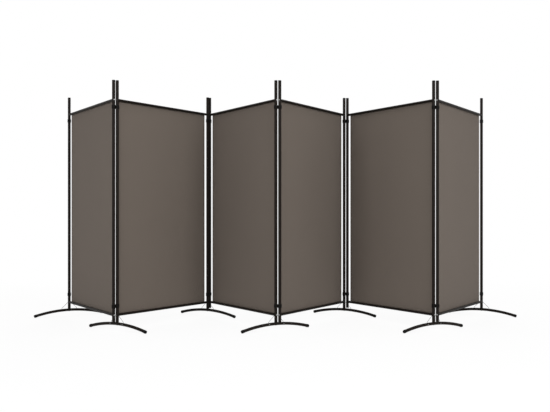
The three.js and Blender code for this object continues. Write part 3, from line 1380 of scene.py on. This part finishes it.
@dataclass
class Cloth:
    """A taut panel of cloth: hemmed sides, and a welt rolled round a rod in each rail."""

    thickness: float = 0.8 * MM
    plane: float = 12 * MM
    edge_gap: float = 26 * MM
    hem_width: float = 15 * MM
    hem_gap: float = 0.2 * MM
    hem_steps: int = 3
    stitch_line: float = 13 * MM
    stitch_pitch: float = 4.4 * MM
    stitch_length: float = 3.4 * MM
    stitch_radius: float = 0.28 * MM
    stitch_sides: int = 6
    stitch_taper_share: float = 0.4
    bend: float = 1.2 * MM
    bend_steps: int = 4
    welt_radius: float = 2.4 * MM
    welt_clearance: float = 0.3 * MM
    welt_turn: float = 320.0
    welt_steps: int = 14
    rod_gap: float = 0.1 * MM
    rod_edge: float = 0.3 * MM
    grid: float = 20 * MM
    relief: float = 0.9 * MM
    relief_fade: float = 90 * MM
    relief_wave: tuple[float, float] = (0.16, 0.75)
    ripple_rates: tuple[float, float] = (2.7, 2.0)
    ripple_share: float = 0.35
    finish: WovenCloth = field(default_factory=WovenCloth)

    def width(self, pitch: float) -> float:
        """The width of the hemmed cloth."""
        return pitch - 2 * self.edge_gap

    def welt_plane(self, rail: Rail) -> float:
        """How far behind the post axes the welts' rods lie."""
        return rail.bore - self.welt_clearance - self.welt_radius

    def roll(self, rail: Rail, side: int) -> list[Vector]:
        """The line of the cloth's end, from its flat part into the rail and round the rod.

        Args:
            rail: The rail that holds it.
            side: 1 at the top rail and -1 at the bottom rail.

        Returns:
            The steps from point to point.
        """
        points = []
        for step in range(self.bend_steps + 1):
            angle = math.pi / 2 * step / self.bend_steps
            depth = self.plane - self.bend * (1 - math.cos(angle))
            points.append((depth, -self.bend + self.bend * math.sin(angle)))
        turn_radius = self.welt_radius - self.thickness / 2
        centre = self.welt_plane(rail)
        points.append((rail.radius, 0.0))
        for step in range(self.welt_steps + 1):
            angle = math.radians(self.welt_turn) * step / self.welt_steps
            points.append((centre + turn_radius * math.cos(angle), turn_radius * math.sin(angle)))
        places = [Vector((0, depth, side * height)) for depth, height in points]
        return [after - before for before, after in zip(places, places[1:])]

    def sheet(self, pitch: float, rail: Rail, heights: list[float], seed: int) -> Workpiece:
        """The cloth of one panel, in the panel's frame.

        Args:
            pitch: The distance between the panel's post axes.
            rail: The rails that hold it.
            heights: The heights of the two rails.
            seed: Which relief it takes, so that no two panels are alike.

        Returns:
            The cloth.
        """
        width = self.width(pitch)
        low, high = heights[0] + self.bend, heights[1] - self.bend
        bpy.ops.object.select_all(action="DESELECT")
        bpy.ops.mesh.primitive_grid_add(
            x_subdivisions=round(width / self.grid),
            y_subdivisions=round((high - low) / self.grid),
            size=1,
        )
        piece = Workpiece()
        upright = Matrix.Rotation(math.pi / 2, 4, "X")
        size = Matrix.Diagonal((width, 1, high - low, 1))
        middle = Matrix.Translation((pitch / 2, self.plane, (low + high) / 2))
        piece.shift(middle @ size @ upright)
        self.tension(piece, pitch, low, high, seed)
        self.fold_hems(piece, pitch)
        self.map_weave(piece, pitch)
        for side, edge, spare in ((1, high, low), (-1, low, high)):
            self.roll_in(piece, rail, side, edge, (edge + spare) / 2)
        piece.modify("SOLIDIFY", thickness=self.thickness, offset=0, use_even_offset=True)
        return piece.complete(SOFT_ANGLE)

    def tension(self, piece: Workpiece, pitch: float, low: float, high: float, seed: int) -> None:
        """Gives the flat cloth the faint upright waves of its pull between the rails.

        Args:
            piece: The flat cloth.
            pitch: The distance between the panel's post axes.
            low: The height of its lower edge.
            high: The height of its upper edge.
            seed: Which waves it takes.
        """
        wide, tall = self.relief_wave
        wide_rate, tall_rate = self.ripple_rates
        for point in piece.body.data.vertices:
            place = point.co
            inset = min(place.x - self.edge_gap, pitch - self.edge_gap - place.x)
            margin = min(inset, place.z - low, high - place.z)
            share = min(max(margin / self.relief_fade, 0.0), 1.0)
            held = share * share * (3 - 2 * share)
            wave = noise.noise(Vector((place.x / wide, place.z / tall, seed)))
            spot = Vector((wide_rate * place.x / wide, tall_rate * place.z / tall, -seed))
            place.y += held * self.relief * (wave + self.ripple_share * noise.noise(spot))

    def fold_hems(self, piece: Workpiece, pitch: float) -> None:
        """Folds each side edge over to the back.

        Args:
            piece: The flat cloth.
            pitch: The distance between the panel's post axes.
        """
        fold = (self.thickness + self.hem_gap) / 2
        turn = math.pi / self.bend_steps
        angles = [turn * step - math.pi / 2 for step in range(self.bend_steps + 1)]
        for edge, inward in ((self.edge_gap, 1), (pitch - self.edge_gap, -1)):
            arc = [Vector((-inward * fold * math.cos(a), fold * math.sin(a), 0)) for a in angles]
            moves = [after - before for before, after in zip(arc, arc[1:])]
            moves += [Vector((inward * self.hem_width / self.hem_steps, 0, 0))] * self.hem_steps
            with piece.editing():
                piece.pick(
                    Pick.EDGES,
                    lambda middle, along: abs(middle.x - edge) < CLOSE
                    and abs(along.z) > SQUARE_ON,
                )
                for move in moves:
                    bpy.ops.mesh.extrude_edges_move(TRANSFORM_OT_translate={"value": move})

    def map_weave(self, piece: Workpiece, pitch: float) -> None:
        """Lays the weave over the cloth, in metres across and up.

        Args:
            piece: The cloth, flat but for its hems.
            pitch: The distance between the panel's post axes; not used.
        """
        mesh = piece.body.data
        while mesh.uv_layers:
            mesh.uv_layers.remove(mesh.uv_layers[0])
        layer = mesh.uv_layers.new(name=WEAVE_MAP)
        for loop in mesh.loops:
            place = mesh.vertices[loop.vertex_index].co
            layer.data[loop.index].uv = (place.x - self.edge_gap, place.z)

    def roll_in(
        self, piece: Workpiece, rail: Rail, side: int, edge: float, halfway: float
    ) -> None:
        """Carries the cloth's end through the rail's slot and rolls it round the rod.

        Args:
            piece: The cloth.
            rail: The rail.
            side: 1 at the top rail and -1 at the bottom rail.
            edge: The height where its flat part ends.
            halfway: The height of its middle; not used.
        """
        front = self.plane + (self.thickness + self.hem_gap) / 2
        with piece.editing():
            piece.pick(
                Pick.EDGES,
                lambda middle, along: abs(middle.z - edge) < CLOSE
                and middle.y < front
                and abs(along.x) > SQUARE_ON,
            )
            for move in self.roll(rail, side):
                bpy.ops.mesh.extrude_edges_move(TRANSFORM_OT_translate={"value": move})

    def rod(self, pitch: float, rail: Rail) -> Workpiece:
        """The rod inside a welt, at height zero.

        Args:
            pitch: The distance between the panel's post axes.
            rail: The rail that holds it.

        Returns:
            The rod.
        """
        piece = Workpiece.rod(
            self.welt_radius - self.thickness - self.rod_gap,
            self.edge_gap,
            pitch - self.edge_gap,
            Along.X,
            WIRE_SIDES,
            centre=Vector((0, self.welt_plane(rail), 0)),
        )
        piece.round_rims(self.rod_edge)
        piece.smooth()
        return piece

    def stitches(self, low: float, high: float) -> Workpiece:
        """A line of stitches on both faces of a hem, upright at the origin.

        Args:
            low: The height of the lowest stitch.
            high: The height of the highest.

        Returns:
            The stitches.
        """
        front = self.plane - self.thickness / 2
        back = self.plane + self.thickness * 1.5 + self.hem_gap
        lines = []
        for depth in (front, back):
            stitch = Workpiece.rod(
                self.stitch_radius,
                low,
                low + self.stitch_length,
                sides=self.stitch_sides,
                centre=Vector((0, depth, 0)),
            )
            with stitch.editing():
                stitch.pick(Pick.FACES, lambda middle, normal: abs(normal.z) > SQUARE_ON)
                bpy.ops.mesh.inset(thickness=self.stitch_taper_share * self.stitch_radius)
                bpy.ops.transform.resize(value=(1, 1, 1 + self.stitch_radius / self.stitch_length))
            stitch.modify(
                "ARRAY",
                count=int((high - low) / self.stitch_pitch),
                use_relative_offset=False,
                use_constant_offset=True,
                constant_offset_displace=(0, 0, self.stitch_pitch),
            )
            lines.append(stitch)
        whole, other = lines
        whole.choose()
        other.body.select_set(True)
        bpy.ops.object.join()
        whole.smooth(SOFT_ANGLE)
        return whole


class Screen:
    """The whole divider, made from its sub-assemblies."""

    def __init__(self) -> None:
        """Reads the layout and sets out the sub-assemblies."""
        self.layout = Layout()
        self.maker = Maker()
        self.post = Post()
        self.rail = Rail()
        self.foot = Foot()
        self.clip = Clip()
        self.cloth = Cloth()
        self.bolts = self.foot.bolts
        self.drill = self.bolts.shank + CLEARANCE
        self.standing = {(panel, side) for _, panel, side in self.layout.feet()}

    @property
    def stay_peak(self) -> float:
        """The height of the stays' crests, just over the bottom rail's bolt."""
        bolt_top = self.layout.rail_heights[0] + self.bolts.shank
        return bolt_top + CLEARANCE + self.foot.stay_radius

    def build(self) -> None:
        """Makes every piece."""
        self.make_posts()
        self.make_rails()
        self.make_cloths()
        self.make_clips()
        self.make_feet()

    def make_posts(self) -> None:
        """The twelve post tubes with their caps, plugs and inserts."""
        post, foot, layout, maker = self.post, self.foot, self.layout, self.maker
        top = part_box("panel_1_left_post")[1].z - post.cap_head
        foot_top = foot.crown + foot.radius
        hanging_bottom = foot_top + post.floor_gap + post.plug_head
        standing = post.tube(foot.crown, top, layout.rail_heights, self.drill)
        reach = 2 * post.radius
        saddle = Workpiece.rod(
            foot.radius + CLEARANCE, -reach, reach, Along.Y, post.sides, centre=foot.crown * UP
        )
        standing.cut(saddle, *foot.leg_holes(self.stay_peak))
        hanging = post.tube(hanging_bottom, top, layout.rail_heights, self.drill)
        standing.complete()
        hanging.complete()
        cap = post.plug(post.cap_head, post.cap_round)
        cap.shift(Matrix.Translation((0, 0, top)))
        plug = post.plug(post.plug_head, post.plug_round_share * post.plug_head)
        plug.shift(Matrix.Translation((0, 0, hanging_bottom)) @ Matrix.Rotation(math.pi, 4, "X"))
        insert = post.insert(self.drill)
        insert.shift(Matrix.Translation((0, 0, foot_top + INSERT_GAP)))
        for panel, side in layout.columns():
            label, body = f"panel_{panel}_{side.value}_post", f"panel_{panel}"
            place = layout.column_place(panel, side)
            if (panel, side) in self.standing:
                tube, end, end_name = standing, insert, f"{label}_insert"
            else:
                tube, end, end_name = hanging, plug, f"{label}_plug"
            maker.set_down(tube, f"{label}_tube", place, body, maker.frame_coat, label)
            maker.set_down(cap, f"{label}_cap", place, body, maker.plastic)
            maker.set_down(end, end_name, place, body, maker.plastic)
        clear(standing, hanging, cap, plug, insert)

    def make_rails(self) -> None:
        """The twelve rails with their inserts and the bolts through the posts."""
        post, rail, layout, maker = self.post, self.rail, self.layout, self.maker
        tube = rail.tube(layout.pitch, post.radius)
        insert = rail.insert(post.radius, self.drill)
        seat = post.radius + CLEARANCE
        bolt = self.bolts.bolt(seat + post.radius + INSERT_GAP + rail.insert_length / 2)
        bolt.shift(Matrix.Translation((seat, 0, 0)) @ Matrix.Rotation(-math.pi / 2, 4, "Y"))
        for panel in range(1, PANELS + 1):
            body = f"panel_{panel}"
            for level, height in zip(Level, layout.rail_heights):
                label = f"panel_{panel}_{level.value}_rail"
                lift = Matrix.Translation((0, 0, height))
                place = layout.panels[panel - 1] @ lift
                maker.set_down(tube, f"{label}_tube", place, body, maker.frame_coat, label)
                for side in Side:
                    column = layout.column_place(panel, side) @ lift
                    end = f"{label}_{side.value}"
                    maker.set_down(insert, f"{end}_insert", column, body, maker.plastic)
                    maker.set_down(bolt, f"{end}_bolt", column, body, maker.zinc)
        clear(tube, insert, bolt)

    def make_cloths(self) -> None:
        """The six cloths with their welt rods and hem stitches."""
        cloth, rail, layout, maker = self.cloth, self.rail, self.layout, self.maker
        width = cloth.width(layout.pitch)
        weave = cloth.finish.make(width, cloth.hem_width)
        maker.slots[weave] = "cloth"
        low, high = layout.rail_heights
        margin = rail.radius + cloth.stitch_pitch
        stitches = cloth.stitches(low + margin, high - margin)
        rod = cloth.rod(layout.pitch, rail)
        roll_length = sum(step.length for step in cloth.roll(rail, 1))
        line = cloth.edge_gap + cloth.stitch_line
        for panel in range(1, PANELS + 1):
            body, label = f"panel_{panel}", f"panel_{panel}_fabric"
            place = layout.panels[panel - 1]
            sheet = cloth.sheet(layout.pitch, rail, layout.rail_heights, panel)
            piece = maker.set_down(sheet, f"{label}_sheet", place, body, weave, label)
            sheet.discard()
            for side, across in zip(Side, (line, layout.pitch - line)):
                name = f"{label}_{side.value}_stitches"
                sewn = place @ Matrix.Translation((across, 0, 0))
                maker.set_down(stitches, name, sewn, body, maker.thread)
            for level, height in zip(Level, layout.rail_heights):
                name = f"{label}_{level.value}_welt_rod"
                held = place @ Matrix.Translation((0, 0, height))
                maker.set_down(rod, name, held, body, maker.plastic)
        clear(stitches, rod)

    def make_clips(self) -> None:
        """The ten figure-eight clips and the four collars on the end posts."""
        layout, maker = self.layout, self.maker
        eight = self.clip.moulding(self.post.radius, layout.pair_spacing())
        collar = self.clip.moulding(self.post.radius, 0)
        for level in Level:
            seats = []
            for hinge in range(1, HINGES + 1):
                node = f"hinge_{hinge}_{level.value}_clip"
                seats.append((eight, node, layout.hinge_place(hinge), f"hinge_{hinge}"))
            for panel, side in ((1, Side.LEFT), (PANELS, Side.RIGHT)):
                node = f"{side.value}_end_{level.value}_collar"
                seats.append((collar, node, layout.column_place(panel, side), f"panel_{panel}"))
            for pattern, node, seat, body in seats:
                place = seat @ Matrix.Translation((0, 0, layout.middle(node).z))
                maker.set_down(pattern, f"{node}_moulding", place, body, maker.plastic, node)
        clear(eight, collar)

    def make_feet(self) -> None:
        """The seven feet with their caps, bolts, stays and screws."""
        foot, layout, maker = self.foot, self.layout, self.maker
        tube, cap, bolt, screw = foot.tube(), foot.cap(), foot.bolt(), foot.screw()
        stay = foot.stay(self.stay_peak)
        half_turn = Matrix.Rotation(math.pi, 4, "Z")
        forwards = Matrix.Translation((0, -2 * foot.stay_reach, 0))
        for number, panel, side in layout.feet():
            place, body = layout.column_place(panel, side), f"panel_{panel}"
            label, brace = f"foot_{number}", f"stay_{number}"
            maker.set_down(tube, f"{label}_tube", place, body, maker.frame_coat, label)
            maker.set_down(bolt, f"{label}_bolt", place, body, maker.zinc)
            maker.set_down(stay, f"{brace}_wire", place, body, maker.frame_coat, brace)
            for end, turn, move in (("front", half_turn, forwards), ("back", Matrix(), Matrix())):
                maker.set_down(cap, f"{label}_{end}_cap", place @ turn, body, maker.plastic)
                maker.set_down(screw, f"{label}_{end}_screw", place @ move, body, maker.zinc)
        clear(tube, cap, bolt, screw, stay)


@dataclass(frozen=True)
class Lamp:
    """A square soft lamp: its place, its side in metres and its power in watts."""

    name: str
    place: tuple[float, float, float]
    size: float
    power: float


@dataclass
class Studio:
    """The pale floor, the soft lamps and the camera."""

    camera_place: tuple[float, float, float] = (-0.0067, -6.0416, 0.8322)
    lens_mm: float = 51.05
    sensor_mm: float = 36.0
    shift_up: float = 0.0158
    floor_size: float = 60.0
    floor_near: float = 2.5
    floor_fade: float = 2.5
    floor_glow: float = 0.9
    floor_colour: Colour = (0.9, 0.9, 0.9, 1.0)
    floor_roughness: float = 0.8
    surround: float = 0.41
    aim: tuple[float, float, float] = (0.0, 0.0, 0.9)
    lamps: tuple[Lamp, ...] = (
        Lamp("key_lamp", (3.8, -6.0, 3.4), 4.0, 320.0),
        Lamp("fill_lamp", (-3.8, -6.0, 2.6), 4.0, 202.0),
        Lamp("top_lamp", (0.0, -0.5, 5.0), 4.0, 60.0),
        Lamp("back_lamp", (0.0, 6.5, 3.4), 5.0, 240.0),
    )

    def build(self) -> None:
        """Sets the studio up around the object."""
        self.make_floor()
        self.make_lamps()
        self.make_world()
        self.make_camera()

    def make_floor(self) -> None:
        """A wide floor, white to the eye, that keeps a trace of the object's shadow."""
        bpy.ops.object.select_all(action="DESELECT")
        bpy.ops.mesh.primitive_plane_add(size=self.floor_size)
        floor = bpy.context.object
        floor.name = "studio_floor"
        shader = Shader("studio_floor")
        shader.plug(shader.surface.inputs["Base Color"], self.floor_colour)
        shader.plug(shader.surface.inputs["Roughness"], self.floor_roughness)
        place = {0: shader.body_place()}
        distance = shader.node("ShaderNodeVectorMath", place, output="Value", operation="LENGTH")
        fading = (distance - self.floor_near) / self.floor_fade
        far = shader.node("ShaderNodeClamp", {"Value": fading})
        white = self.floor_glow + far * (1.0 - self.floor_glow)
        glow = shader.node("ShaderNodeEmission", {"Color": WHITE, "Strength": 1.0})
        plain = Wire(shader, shader.surface.outputs[0])
        sockets = {0: seen_directly(shader) * white, 1: plain, 2: glow}
        mixed = shader.node("ShaderNodeMixShader", sockets)
        shader.plug(shader.tree.nodes["Material Output"].inputs["Surface"], mixed)
        floor.data.materials.append(shader.material)

    def make_lamps(self) -> None:
        """Two broad soft lamps in front, one from above and one behind."""
        for lamp in self.lamps:
            bpy.ops.object.light_add(type="AREA", location=lamp.place)
            light = bpy.context.object
            light.name = lamp.name
            light.data.size = lamp.size
            light.data.energy = lamp.power
            towards = Vector(self.aim) - Vector(lamp.place)
            light.rotation_euler = towards.to_track_quat("-Z", "Y").to_euler()

    def make_world(self) -> None:
        """A dim white surround for the light, and a full white one for the eye."""
        world = bpy.data.worlds.new("studio")
        world.use_nodes = True
        bpy.context.scene.world = world
        graph = Graph(world.node_tree)
        sockets = {"Value": seen_directly(graph), "To Min": self.surround, "To Max": 1.0}
        background = graph.tree.nodes["Background"]
        graph.plug(background.inputs["Strength"], graph.node("ShaderNodeMapRange", sockets))
        graph.plug(background.inputs["Color"], WHITE)
        bpy.context.scene.view_settings.view_transform = "Standard"

    def make_camera(self) -> None:
        """A level camera in front, at the photograph's distance and height."""
        bpy.ops.object.camera_add(location=self.camera_place, rotation=(math.pi / 2, 0, 0))
        camera = bpy.context.object
        camera.name = "studio_camera"
        camera.data.lens = self.lens_mm
        camera.data.sensor_width = self.sensor_mm
        camera.data.shift_y = self.shift_up
        bpy.context.scene.camera = camera


def seen_directly(graph: Graph) -> Wire:
    """Tells what is looked at from the light that falls.

    Args:
        graph: The nodes of a material or of the world.

    Returns:
        1 for camera, mirrored and see-through rays, and 0 for all other light.
    """
    rays = graph.node("ShaderNodeLightPath", output="Is Camera Ray")
    seen = rays
    for name in ("Is Glossy Ray", "Is Transmission Ray"):
        seen = graph.maths("MAXIMUM", seen, rays.twin(name))
    return seen


def main() -> None:
    """Builds the studio and the screen."""
    logging.basicConfig(level=logging.INFO, format="%(message)s")
    Studio().build()
    Screen().build()


if __name__ == "__main__":
    main()
